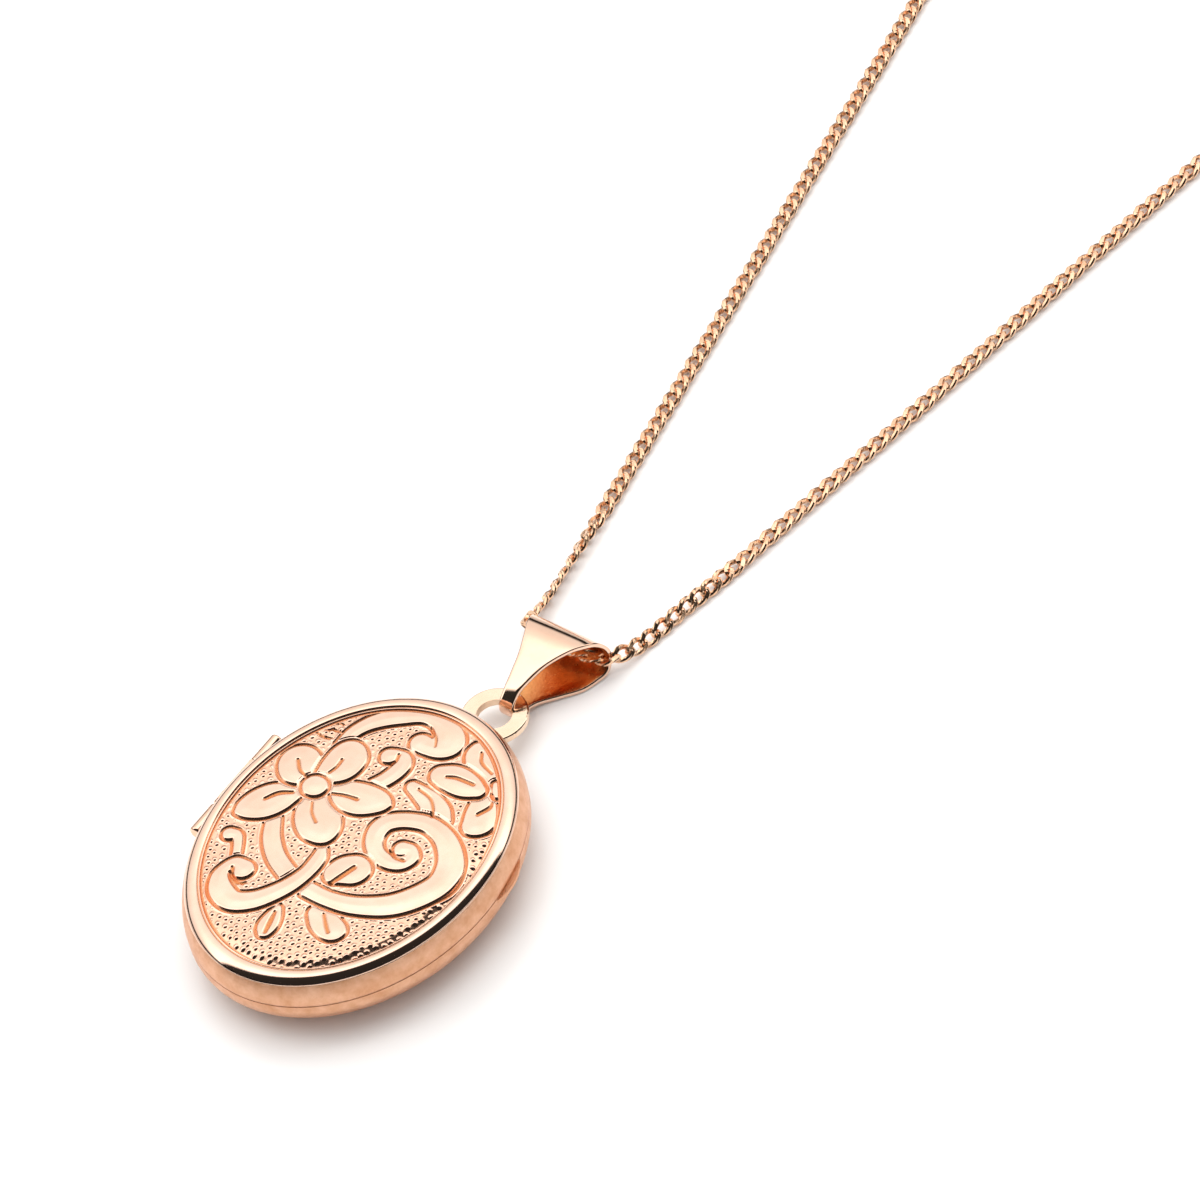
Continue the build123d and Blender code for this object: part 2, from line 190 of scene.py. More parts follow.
S_SCROLL = [
    (-.85, -1.3, .25), (-.6, -2.0, .42), (-.57, -3.0, .44), (-.85, -4.1, .5), (-1.4, -5.1, .55),
    (-2.1, -5.9, .6), (-3.0, -6.35, .65), (-3.9, -6.1, .66), (-4.5, -5.5, .5), (-4.65, -4.9, .36),
    (-4.35, -4.3, .42), (-3.75, -4.4, .62),
]
LEAF_BAND = [(-4.4, -.9, .42), (-3.7, -2.0, .5), (-2.7, -2.9, .52), (-1.4, -3.55, .52)]
MIDDLE_CURL = [
    (-.95, 3.35, .45), (-.65, 3.9, .48), (-.45, 4.6, .5), (-.45, 5.2, .48), (-.7, 5.58, .43),
    (-1.15, 5.55, .42), (-1.45, 5.35, .5),
]
HOOK = [(-4.7, -3.75, .24), (-5.1, -3.1, .26), (-5.45, -2.72, .3), (-5.85, -2.85, .4)]
MOTIFS = [
    TOP_SCROLL,
    [(.9, 4.25, .35), (1.6, 4.1, .5), (2.4, 3.85, .65), (3.0, 3.45, .8), (3.35, 3.0, .85)],
    [(2.45, 8.0, .42), (2.7, 7.6, .68), (3.2, 7.2, .72), (3.8, 6.9, .58), (4.2, 6.7, .35)],
    [(4.95, 5.0, .72), (5.2, 4.5, .85), (5.45, 4.0, .88), (5.4, 3.75, .75)],
    [(4.75, 6.45, .2), (5.0, 6.12, .24), (5.25, 5.88, .2)],
    [(1.8, 5.6, .62), (2.5, 5.7, .88), (3.3, 5.65, .84), (4.1, 5.65, .48)],
    [(1.5, -4.9, .5), (2.2, -5.2, .75), (2.85, -5.4, .75), (3.1, -5.42, .58)],
    [(-.5, -5.6, .2), (-.4, -6.2, .45), (-.3, -6.8, .56), (-.2, -7.15, .42)],
    HOOK,
    MIDDLE_CURL,
    BIG_SCROLL,
    [(.85, -2.3, .72), (1.15, -1.95, .92), (1.5, -1.75, .98)],
    LEAF_BAND,
    S_SCROLL,
    [(-3.1, 1.0, .55), (-2.7, .5, 1.08), (-2.1, .0, 1.22), (-1.6, -.35, .95), (-1.15, -.7, .42)],
    [(-2.5, 2.25, .45), (-1.8, 2.2, .88), (-1.0, 2.25, 1.05), (-.2, 2.5, .8), (.3, 2.6, .4)],
    [(-4.5, .7, .55), (-5.1, .2, 1.02), (-5.5, -.3, 1.08), (-5.95, -.85, .8), (-6.35, -1.35, .3)],
    [(-4.8, 2.0, .55), (-5.25, 2.45, 1.08), (-5.45, 2.75, 1.18)],
    [(-3.6, 3.0, .75), (-3.35, 3.6, 1.1), (-3.35, 4.1, 1.12), (-3.42, 4.4, .98)],
    [(-3.8, 1.85, .68), (-3.7, 1.85, .68)],
]
VEINS = [
    [(-3.6, 2.9, .07), (-3.48, 3.4, .08), (-3.52, 3.95, .09)],
    [(-4.45, 2.15, .07), (-5.1, 2.35, .1), (-5.62, 2.85, .1)],
    [(-4.5, .95, .08), (-5.15, .55, .12), (-5.6, -.1, .09)],
    [(-3.2, .9, .07), (-2.8, .35, .08), (-2.2, -.1, .09)],
    [(-2.6, 1.85, .07), (-1.9, 2.05, .08), (-1.15, 2.15, .1)],
    [(-.6, 7.95, .05), (0, 7.55, .07), (.35, 7.02, .06)],
    [(-1.03, 5.65, .09), (-.92, 5.2, .08), (-1.0, 4.85, .06)],
    [(1.35, 4.25, .08), (2.2, 4.05, .08), (2.75, 3.6, .08), (3.05, 3.1, .08)],
    [(2.15, 5.6, .07), (2.7, 5.8, .1), (3.7, 5.87, .1)],
    [(2.8, 7.82, .08), (3.2, 7.3, .09), (4.1, 6.95, .07)],
    [(5.28, 5.4, .06), (5.38, 5.0, .1), (5.1, 4.35, .1)],
    [(3.5, .02, .09), (2.95, -.02, .09), (2.5, .2, .07)],
    [(-4.3, -4.6, .1), (-4.0, -5.0, .1), (-3.5, -5.25, .12), (-3.1, -5.05, .08)],
    [(-.48, -5.9, .08), (-.3, -6.6, .13), (-.15, -7.2, .1)],
    [(1.9, -4.8, .08), (2.4, -5.3, .1), (2.8, -5.65, .1)],
    [(1.48, -1.6, .13), (1.25, -2.3, .13), (1.0, -3.0, .11)],
    [(-5.9, 4.86, .08), (-5.4, 4.82, .08), (-4.95, 4.92, .06)],
    [(-5.6, 5.22, .06), (-5.2, 5.45, .08), (-4.78, 5.5, .06)],
    [(-5.4, 5.85, .05), (-5.1, 5.95, .06), (-4.85, 5.98, .05)],
]


def spread(stroke, step=0.05, closed=False):
    """Points along a smooth (Catmull-Rom) line through a stroke's own points."""
    points = np.array(stroke, float)
    if closed:
        ends = np.vstack([points[-1], points, points[:2]])
    else:
        ends = np.vstack([2 * points[0] - points[1], points, 2 * points[-1] - points[-2]])
    found = []
    for a, b, c, d in zip(ends, ends[1:], ends[2:], ends[3:]):
        count = max(2, int(np.hypot(*(c - b)[:2]) / step))
        t = (np.arange(count) / count)[:, None]
        found.append(
            0.5 * (2 * b + (c - a) * t + (2 * a - 5 * b + 4 * c - d) * t**2
                   + (3 * b - a - 3 * c + d) * t**3)
        )
    if not closed:
        found.append(points[-1:])
    return np.vstack(found)


def inside(stroke, x, y, margin=0.5):
    """Distance into a stroke, below zero outside it; far points stay at -margin."""
    line = spread(stroke)
    reach = line[:, 2].max() + margin
    low, high = line[:, :2].min(0) - reach, line[:, :2].max(0) + reach
    near = np.flatnonzero((x > low[0]) & (x < high[0]) & (y > low[1]) & (y < high[1]))
    depth = np.full(x.shape, -margin)
    for cx, cy, r in line:
        depth[near] = np.maximum(depth[near], r - np.hypot(x[near] - cx, y[near] - cy))
    return depth


def bell(distance, width):
    """1 at no distance, fading to 0 on both sides."""
    return np.exp(-((distance / width) ** 2))


def scatter(column, row, by_column, by_row, scale):
    """A repeatable number from 0 to 1 that looks random from bead to bead."""
    value = np.sin(column * by_column + row * by_row) * scale
    return value - np.floor(value)


def bead_height(x, y):
    """Small punched beads in slightly uneven rows."""
    row_step = BEAD_SPACING * BEAD_ROW_RATIO
    row = np.round(y / row_step)
    best = np.zeros(x.shape)
    for dr in (-1, 0, 1):
        r = row + dr
        shift = 0.5 * np.mod(r, 2)
        column = np.round(x / BEAD_SPACING - shift)
        for dc in (-1, 0, 1):
            c = column + dc
            jitter = scatter(c, r, 12.9, 78.2, 43.7)
            other = scatter(c, r, 39.3, 11.1, 27.3)
            bx = (c + shift + 0.36 * (jitter - 0.5)) * BEAD_SPACING
            by = r * row_step + 0.3 * (other - 0.5) * BEAD_SPACING
            size = BEAD_RADIUS * (0.8 + 0.35 * jitter * other)
            near = 1 - (np.hypot(x - bx, y - by) / size) ** 2
            best = np.maximum(best, np.sqrt(np.maximum(near, 0)))
    return best * BEAD_HEIGHT


def engraved(x, y):
    """Height of the panel, and how much painted shade each point takes (0 to 1): in and beside the cuts,
    in the veins, between the beads and round the edge.
    """
    beads = bead_height(x, y)
    relief = beads
    # painted shade on the ground between the beads
    painted_shade = BEAD_GAP_SHADE * (1 - np.clip(beads / BEAD_HEIGHT, 0, 1))
    for stroke in MOTIFS:
        depth = inside(stroke, x, y)
        face = MOTIF_HEIGHT * smooth(-0.02, MOTIF_EDGE, depth)
        crown = face + MOTIF_CROWN * smooth(0.1, 0.7, depth)
        groove = -GROOVE_DEPTH * bell(depth + GROOVE_AWAY, GROOVE_WIDTH)
        ridge = RIDGE_HEIGHT * bell(depth + RIDGE_AWAY, RIDGE_WIDTH)
        cover = smooth(*COVER_FADE, depth)
        relief = relief * (1 - cover) + (crown + groove + ridge) * cover
        # a band of painted shade along the groove beside each motif
        cut = bell(depth + GROOVE_AWAY, GROOVE_SHADE_WIDTH)
        painted_shade = painted_shade * (1 - cover) + cut * cover
    for stroke in VEINS:
        depth = inside(stroke, x, y)
        cut = smooth(-0.05, 0.06, depth)
        relief = relief - VEIN_DEPTH * cut
        # the veins are filled with painted shade
        painted_shade = np.maximum(painted_shade, cut)
    rho = np.hypot(x / (PANEL_HALF_LENGTH * OVAL_RATIO), y / PANEL_HALF_LENGTH)
    round_x = x / OVAL_RATIO
    facing = (DIP_SIDE[0] * round_x + DIP_SIDE[1] * y) / np.maximum(np.hypot(round_x, y), 0.01)
    dome = PANEL_DOME * (1 - rho**2)
    dome -= DIP_DEPTH * smooth(0.93, 1.0, rho) * smooth(0.1, 0.8, facing)
    dome += HAND_WAVE * (np.sin(1.3 * x + 0.9 * y + 0.5) + np.sin(0.7 * x - 1.6 * y + 2))
    edge = smooth(0.985, 0.995, rho)
    relief = relief * (1 - edge)
    # the panel's edge takes painted shade
    painted_shade = np.maximum(painted_shade * (1 - edge), EDGE_SHADE * edge)
    return GROUND_Z + dome + relief, painted_shade


def panel_grid():
    """A square grid of points bent into the panel's oval, and its border in order."""
    v, u = np.meshgrid(
        np.linspace(-1, 1, PANEL_ROWS + 1), np.linspace(-1, 1, PANEL_COLUMNS + 1), indexing="ij"
    )
    x = u * np.sqrt(1 - v**2 / 2) * PANEL_HALF_LENGTH * OVAL_RATIO
    y = v * np.sqrt(1 - u**2 / 2) * PANEL_HALF_LENGTH
    index = np.arange(u.size).reshape(u.shape)
    border = np.concatenate(
        [index[0, :-1], index[:-1, -1], index[-1, :0:-1], index[:0:-1, 0]]
    )
    return x.ravel(), y.ravel(), index, border


def rim_profile():
    """(half length, z, is side wall, painted shade) from the panel's edge, over the rim, down inside."""
    # the small groove between the panel and the rim takes painted shade
    rows = [
        (8.93, 4.03, 0, 0.9), (8.96, 4.05, 0, 0.9), (8.99, 4.13, 0, 0.3), (9.03, 4.15, 0, 0),
        (9.07, 4.14, 0, 0.2), (9.10, 4.09, 0, 0.9), (9.13, 4.14, 0, 0.4), (9.18, 4.185, 0, 0),
        (9.25, TOP_Z, 0, 0), (RIM_FLAT_END - 0.05, TOP_Z, 0, 0),
    ]
    for step in range(13):
        turn = radians(SHOULDER_ANGLE * step / 12)
        drop = SHOULDER_ROUND * (1 - cos(turn))
        rows.append((RIM_FLAT_END + SHOULDER_ROUND * sin(turn), TOP_Z - drop, 0, 0))
    reach, height = rows[-1][:2]
    for share in (0.85, 0.7, 0.55, 0.4, 0.25, 0.12, 0.02):
        z = SEAM_Z + (height - SEAM_Z) * share
        rows.append((SEAM_HALF_LENGTH - (SEAM_HALF_LENGTH - reach) * share**WALL_POWER, z, 1, 0))
    rows += [(SEAM_HALF_LENGTH - 0.02, SEAM_Z, 1, 0), (BORE_HALF_LENGTH, SEAM_Z, 1, 0)]
    rows += [(BORE_HALF_LENGTH, SEAT_Z, 1, 0), (SEAT_HALF_LENGTH, SEAT_Z, 1, 0)]
    rows += [(SEAT_HALF_LENGTH, CEILING_Z, 1, 0), (CEILING_REACH, CEILING_Z, 1, 0)]
    return rows


def painted_shade_mesh(name, vertices, faces, shade_levels):
    """A smooth mesh that carries how much painted shade each of its points takes."""
    piece = new_mesh(name, vertices, faces)
    piece.data.polygons.foreach_set("use_smooth", [True] * len(faces))
    depth = piece.data.attributes.new("painted_shade", "FLOAT", "POINT")
    depth.data.foreach_set("value", np.asarray(shade_levels, np.float32))
    return piece


def front_panel(look):
    """The engraved face, and the points round its edge."""
    x, y, index, border = panel_grid()
    z, painted_shade = engraved(x, y)
    a, b = index[:-1, :-1].ravel(), index[:-1, 1:].ravel()
    c, d = index[1:, 1:].ravel(), index[1:, :-1].ravel()
    faces = np.column_stack([a, b, c, d]).tolist()
    panel = painted_shade_mesh("front_panel_engraved", np.column_stack([x, y, z]), faces, painted_shade)
    panel.data.materials.append(look)
    return panel, np.column_stack([x, y, z])[border]


def front_rim(edge, polished, satin_and_shade):
    """Polished rim, side wall and inside of the front cover, starting at the panel's edge."""
    size = len(edge)
    angle = np.arctan2(edge[:, 1], edge[:, 0] / OVAL_RATIO)
    rings, shade_levels, faces, slots = [edge], [np.full(size, EDGE_SHADE)], [], []
    spot = np.arange(size)
    for row, (reach, height, wall, shade) in enumerate(rim_profile()):
        rings.append(np.column_stack([
            reach * OVAL_RATIO * np.cos(angle), reach * np.sin(angle), np.full(size, height)
        ]))
        shade_levels.append(np.full(size, shade))
        before, after = spot + row * size, spot + (row + 1) * size
        faces += np.column_stack([before, after, np.roll(after, -1), np.roll(before, -1)]).tolist()
        slots += [wall] * size
    centre = size * len(rings)
    rings.append(np.array([[0.0, 0.0, CEILING_Z]]))
    shade_levels.append(np.zeros(1))
    faces += [[int(p), centre, int(q)] for p, q in zip(after, np.roll(after, -1))]
    slots += [1] * size
    rim = painted_shade_mesh("front_rim_and_wall", np.vstack(rings), faces, np.concatenate(shade_levels))
    rim.data.materials.append(polished)
    # the side wall and inside take the satin gold, darkened with painted shade
    rim.data.materials.append(satin_and_shade)
    rim.data.polygons.foreach_set("material_index", slots)
    return rim


# ---------------------------------------------------------------- bail

# (y, z, left edge x, right edge x) round the outside of the folded strip, from its eye
# over the front leaf, round the fold and back along the rear leaf.
BAIL_STRIP = [
    (12.425, 1.225, -.16, .76), (12.546, 1.675, -.16, .76), (12.86, 1.99, -.15, .76),
    (13.35, 2.3, -.17, .8), (14.1, 2.5, -.31, .96), (15.2, 2.77, -.55, 1.33),
    (16.4, 2.96, -1.0, 2.0), (17.2, 2.85, -1.4, 2.45), (17.9, 2.42, -1.68, 2.66),
    (18.4, 1.7, -1.8, 2.8), (18.5, 1.1, -1.83, 2.93), (18.2, .38, -1.83, 2.98),
    (17.75, .07, -1.85, 2.96), (17.2, 0, -1.85, 2.82), (16.2, 0, -1.55, 2.45),
    (15.2, .04, -.85, 1.65), (14.1, .19, -.3, .9), (12.945, .41, -.18, .7),
    (12.546, .775, -.18, .7),
]
BAIL_STEP = 0.08
BAIL_SHEET = 0.3
BAIL_EDGE = 0.09
BAIL_SOFT = 0.03
BAIL_CROWN = 0.008
BAIL_OUTER_POINTS = 9
BAIL_INNER_POINTS = 5


def bail_section():
    """(share of the width, shift across, depth) round the sheet, and where its inner face starts."""
    outer = [(share, BAIL_EDGE * (1 - 2 * share), 0.0) for share in np.linspace(0, 1, BAIL_OUTER_POINTS)]
    inner = [(share, BAIL_EDGE * (1 - 2 * share), BAIL_SHEET)
             for share in np.linspace(1, 0, BAIL_INNER_POINTS)]
    edge = [
        (-BAIL_SOFT, BAIL_SOFT), (0.0, BAIL_EDGE), (0.0, BAIL_SHEET - BAIL_EDGE),
        (-BAIL_SOFT, BAIL_SHEET - BAIL_SOFT),
    ]
    right = [(1, shift, depth) for shift, depth in edge]
    left = [(0, -shift, depth) for shift, depth in reversed(edge)]
    return outer + right + inner + left, len(outer + right)


def bail_strip(outside, shaded_inside_look):
    """Tapered strip folded to a teardrop, with soft edges and a slightly crowned face."""
    line = spread(BAIL_STRIP, BAIL_STEP, closed=True)
    ahead = np.roll(line[:, :2], -1, 0) - np.roll(line[:, :2], 1, 0)
    ahead /= np.linalg.norm(ahead, axis=1)[:, None]
    inward = np.column_stack([ahead[:, 1], -ahead[:, 0]])
    section, inner = bail_section()
    vertices = []
    for (y, z, left, right), (ny, nz) in zip(line, inward):
        width = right - left
        for share, shift, depth in section:
            crown = BAIL_CROWN * width * (2 * share - 1) ** 2 if depth == 0 else 0
            down = depth + crown
            vertices.append((left + width * share + shift, y + ny * down, z + nz * down))
    rows, size = len(line), len(section)
    faces, slots = [], []
    for row in range(rows):
        here = row * size
        above = ((row + 1) % rows) * size
        for spot in range(size):
            beside = (spot + 1) % size
            faces.append((here + spot, above + spot, above + beside, here + beside))
            # the inner face takes the darker, redder gold painted as shade inside the fold
            slots.append(int(inner <= spot < inner + BAIL_INNER_POINTS - 1))
    strip = new_mesh("bail_folded", vertices, faces)
    strip.data.polygons.foreach_set("use_smooth", [True] * len(faces))
    strip.data.materials.append(outside)
    strip.data.materials.append(shaded_inside_look)
    strip.data.polygons.foreach_set("material_index", slots)
    return strip


# ---------------------------------------------------------------- chain

def coil_centre(route, side):
    """Centre of a coil whose outer turn the strand enters in its own direction."""
    (x0, y0, _), (x1, y1, _) = route[-2:]
    run = hypot(x1 - x0, y1 - y0)
    return (x1 - side * COIL_OUTER * (y1 - y0) / run, y1 + side * COIL_OUTER * (x1 - x0) / run)


def coil_points(route, side):
    """Turns of a coil: inwards along the surface, then outwards on top."""
    cx, cy = coil_centre(route, side)
    start = atan2(route[-1][1] - cy, route[-1][0] - cx)
    steps = COIL_TURNS * COIL_POINTS
    points = []
    for step in range(1, steps):
        share = step / steps
        inward = 1 - abs(2 * share - 1)
        radius = COIL_OUTER - (COIL_OUTER - COIL_INNER) * inward
        turn = start + side * 2 * pi * COIL_TURNS * share
        lift = COIL_LAYER * float(smooth(*COIL_RISE, share))
        points.append((cx + radius * cos(turn), cy + radius * sin(turn), CHAIN_REST_Z + lift))
    return points


def tail_points(route, side):
    """From the top of a coil, down and round to the clasp's end ring."""
    x, y, _ = route[-1]
    end_x = TAIL_END_X[side]
    return [
        (x, y + 0.6, COIL_LAYER + CHAIN_REST_Z),
        (x - side * 0.05, y + 3.2, 0.62),
        (x - side * 1.2, y + 6.6, CHAIN_REST_Z),
        (x - side * 3.7, y + 9.3, CHAIN_REST_Z),
        (end_x + side * 2.6, CLASP_Y - 0.1, 0.55),
        (end_x + side * 0.1, CLASP_Y, CLASP_Z),
    ]


def route_line(name, points):
    """Points read along a smooth NURBS line with these control points."""
    curve = bpy.data.curves.new(name, "CURVE")
    curve.dimensions = "3D"
    spline = curve.splines.new("NURBS")
    spline.points.add(len(points) - 1)
    for point, place in zip(spline.points, points):
        point.co = (*place, 1)
    spline.order_u = 3
    spline.use_endpoint_u = True
    spline.resolution_u = 12
    thing = bpy.data.objects.new(name, curve)
    bpy.context.scene.collection.objects.link(thing)
    bpy.context.view_layer.update()
    mesh = bpy.data.meshes.new_from_object(thing)
    line = np.array([v.co for v in mesh.vertices], float)
    bpy.data.objects.remove(thing)
    bpy.data.meshes.remove(mesh)
    return line


def curb_link():
    """One twisted oval link, cut flat above and below."""
    half = (PITCH + LINK_WIRE) / 2
    wide = (LINK_WIDTH - LINK_WIRE) / 2
    vertices, faces = [], []
    for step in range(LINK_STEPS):
        turn = 2 * pi * step / LINK_STEPS
        along = half * cos(turn)
        across = wide * sin(turn)
        tangent = Vector((-half * sin(turn), wide * cos(turn), 0)).normalized()
        side = Vector((tangent.y, -tangent.x, 0))
        twist = LINK_TWIST * cos(turn)
        here = step * LINK_SIDES
        ahead = ((step + 1) % LINK_STEPS) * LINK_SIDES
        for spoke in range(LINK_SIDES):
            roll = 2 * pi * (spoke + 0.5) / LINK_SIDES
            point = Vector((along, across, 0)) + side * (LINK_WIRE / 2 * cos(roll))
            point.z += LINK_WIRE / 2 * sin(roll)
            y = point.y * cos(twist) - point.z * sin(twist)
            z = point.y * sin(twist) + point.z * cos(twist)
            vertices.append((point.x, y, max(-LINK_FACET, min(LINK_FACET, z))))
            beside = (spoke + 1) % LINK_SIDES
            faces.append((here + spoke, here + beside, ahead + beside, ahead + spoke))
    return np.array(vertices), np.array(faces)


def roll_along(distance, side):
    """How far a link is turned on its edge: twisted near the bail, flat further on."""
    past = distance - TURN_START
    wave = TURN_ANGLE * float(smooth(0, TURN_RISE, past))
    settle = 1 - float(smooth(*TURN_FADE, past))
    wobble = TURN_WOBBLE * sin(distance * 1.7 + side)
    return side * wave * settle + wobble


def curb_chain(name, line, first, side, material):
    """Links placed one by one along a line, joined in one mesh."""
    steps = np.linalg.norm(np.diff(line, axis=0), axis=1)
    reached = np.concatenate([[0], np.cumsum(steps)])
    length = reached[-1]
    link, quads = curb_link()
    vertices, faces = [], []
    count = int((length - first) / PITCH)
    for n in range(count + 1):
        s = first + n * PITCH
        ends = [np.array([np.interp(q, reached, line[:, k]) for k in range(3)])
                for q in (max(s - LINK_LOOK_ALONG, 0), s, min(s + LINK_LOOK_ALONG, length))]
        ahead = ends[2] - ends[0]
        ahead /= np.linalg.norm(ahead)
        across = np.cross((0, 0, 1), ahead)
        across /= np.linalg.norm(across)
        upward = np.cross(ahead, across)
        roll = roll_along(s, side)
        y_axis = across * cos(roll) + upward * sin(roll)
        z_axis = -across * sin(roll) + upward * cos(roll)
        placed = link[:, :1] * ahead + link[:, 1:2] * y_axis + link[:, 2:] * z_axis
        middle = ends[1].copy()
        middle[2] = max(middle[2], FLOOR_GAP - placed[:, 2].min())
        faces.append(quads + n * len(link))
        vertices.append(placed + middle)
    chain = new_mesh(name, np.vstack(vertices), list(map(tuple, np.vstack(faces))))
    chain.data.materials.append(material)
    return chain


# ---------------------------------------------------------------- materials

class Nodes:
    """Short way to write a node material."""

    def __init__(self, name):
        self.material = bpy.data.materials.new(name)
        self.material.use_nodes = True
        self.tree = self.material.node_tree
        self.shader = self.tree.nodes["Principled BSDF"]

    def add(self, kind, **values):
        node = self.tree.nodes.new(kind)
        for key, value in values.items():
            if key in node.inputs:
                node.inputs[key].default_value = value
            else:
                setattr(node, key, value)
        return node

    def link(self, source, target):
        self.tree.links.new(source, target)

    def noise(self, scale, detail, rough):
        place = self.add("ShaderNodeTexCoord")
        noise = self.add("ShaderNodeTexNoise", Scale=scale, Detail=detail, Roughness=rough)
        self.link(place.outputs["Object"], noise.inputs["Vector"])
        return noise.outputs["Fac"]

    def ramp(self, source, stops):
        """Colour from two (position, colour) stops."""
        ramp = self.add("ShaderNodeValToRGB")
        for element, (place, colour) in zip(ramp.color_ramp.elements, stops):
            element.position = place
            element.color = (*colour, 1)
        self.link(source, ramp.inputs["Fac"])
        return ramp.outputs["Color"]

    def between(self, source, low, high, start=0.0, end=1.0):
        node = self.add("ShaderNodeMapRange")
        node.inputs["From Min"].default_value = start
        node.inputs["From Max"].default_value = end
        node.inputs["To Min"].default_value = low
        node.inputs["To Max"].default_value = high
        self.link(source, node.inputs["Value"])
        return node.outputs["Result"]

    def mix(self, factor, source, colour):
        """The source's colour, or the given one where the factor is 1."""
        node = self.add("ShaderNodeMix", data_type="RGBA")
        self.link(factor, node.inputs["Factor"])
        self.link(source, node.inputs[6])
        node.inputs[7].default_value = (*colour, 1)
        return node.outputs[2]

    def bump(self, source, distance):
        node = self.add("ShaderNodeBump", Strength=1.0, Distance=distance)
        self.link(source, node.inputs["Height"])
        self.link(node.outputs["Normal"], self.shader.inputs["Normal"])


HOLLOW_ROUGHNESS = 0.45


def gold(name, bright, deep, rough_low, rough_high, grain, bump, painted_shade=None):
    """Polished or satin metal with faint clouding, fine handling marks and uneven gloss.

    The last argument is the deeper orange painted into the cuts of the engraving as shade; the cuts are
    also made rougher.
    """
    nodes = Nodes(name)
    nodes.shader.inputs["Metallic"].default_value = 1.0
    cloud = nodes.noise(grain, 4.0, 0.6)
    marks = nodes.noise(grain * 9, 5.0, 0.7)
    colour = nodes.ramp(cloud, [(0.3, deep), (0.7, bright)])
    # deeper orange painted into the cuts as shade
    if painted_shade:
        attribute = nodes.add("ShaderNodeAttribute", attribute_name="painted_shade")
        colour = nodes.mix(attribute.outputs["Fac"], colour, painted_shade)
    nodes.link(colour, nodes.shader.inputs["Base Color"])
    gloss = nodes.between(marks, rough_low, rough_high, 0.3, 0.7)
    if painted_shade:
        worn = nodes.add("ShaderNodeMath", operation="MULTIPLY_ADD")
        worn.inputs[1].default_value = HOLLOW_ROUGHNESS
        nodes.link(attribute.outputs["Fac"], worn.inputs[0])
        nodes.link(gloss, worn.inputs[2])
        gloss = worn.outputs[0]
    nodes.link(gloss, nodes.shader.inputs["Roughness"])
    nodes.bump(marks, bump)
    return nodes.material


def make_materials():
    found = {}
    # the deep orange last colour is painted shade in the cuts of the engraving
    found["engraved"] = gold(
        "engraved_rose_gold", (0.96, 0.68, 0.54), (0.92, 0.61, 0.46), 0.05, 0.12, 700, 1.5e-6,
        painted_shade=(0.85, 0.34, 0.13),
    )
    found["polished"] = gold(
        "polished_rose_gold", (0.96, 0.66, 0.50), (0.92, 0.60, 0.44), 0.04, 0.1, 500, 1.5e-6
    )
    # the satin finish is real; its colour, deeper and darker than the polished gold, is painted shade on
    # the walls and back
    found["satin_and_shade"] = gold(
        "satin_rose_gold_and_shade", (0.88, 0.52, 0.34), (0.70, 0.35, 0.19), 0.3, 0.5, 1100, 1.2e-5
    )
    # darker, redder copy of the bail's gold for the inside of the fold: painted shade and painted
    # reflection between its leaves
    found["bail_inside"] = gold(
        "bail_inside_gold", (0.90, 0.40, 0.15), (0.58, 0.18, 0.05), 0.12, 0.3, 330, 3e-5
    )
    found["pale"] = gold(
        "pale_yellow_gold", (0.97, 0.77, 0.59), (0.93, 0.69, 0.50), 0.08, 0.2, 600, 3e-6
    )
    found["chain"] = gold(
        "chain_gold", (0.98, 0.68, 0.47), (0.92, 0.54, 0.33), 0.14, 0.26, 1500, 3e-6
    )
    found["frame"] = gold(
        "photo_frame_gold", (0.95, 0.66, 0.46), (0.86, 0.54, 0.34), 0.15, 0.3, 800, 5e-6
    )
    found["steel"] = gold(
        "spring_steel", (0.72, 0.72, 0.72), (0.55, 0.55, 0.56), 0.2, 0.35, 1500, 4e-6
    )
    card = Nodes("photo_card")
    fibre = card.noise(2500, 6.0, 0.7)
    blotch = card.noise(300, 2.0, 0.5)
    colour = card.ramp(blotch, [(0.3, (0.80, 0.76, 0.68)), (0.7, (0.88, 0.85, 0.79))])
    card.link(colour, card.shader.inputs["Base Color"])
    card.link(card.between(fibre, 0.75, 0.95), card.shader.inputs["Roughness"])
    card.bump(fibre, 1e-5)
    found["card"] = card.material
    window = Nodes("acetate_window")
    wave = window.noise(250, 2.0, 0.5)
    window.shader.inputs["Alpha"].default_value = 0.3
    window.shader.inputs["Base Color"].default_value = (0.97, 0.98, 0.97, 1)
    window.link(window.between(wave, 0.03, 0.12), window.shader.inputs["Roughness"])
    window.bump(wave, 1e-5)
    found["window"] = window.material
    return found


NODE_LOOKS = {
    "back_cover": "satin_and_shade",
    "locating_rim": "satin_and_shade",
    "opening_lip": "satin_and_shade",
    "back_photo_card": "card",
    "front_photo_card": "card",
    "back_photo_window": "window",
    "front_photo_window": "window",
    "back_photo_frame": "frame",
    "front_photo_frame": "frame",
    "hinge_knuckles_back": "polished",
    "hinge_knuckle_front": "polished",
    "hinge_pin": "frame",
    "bail_ring": "pale",
    "clasp_body": "chain",
    "clasp_bolt": "chain",
    "clasp_spring": "steel",
    "clasp_eyelet": "chain",
    "left_end_ring": "chain",
    "right_end_ring": "chain",
}


def dress_nodes(looks):
    """Gives each shown CAD node its material."""
    for node, look in NODE_LOOKS.items():
        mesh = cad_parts[node].data
        mesh.materials.clear()
        mesh.materials.append(looks[look])


# ---------------------------------------------------------------- stage

FLOOR_HALF = 1500
FLOOR_Z = -0.02


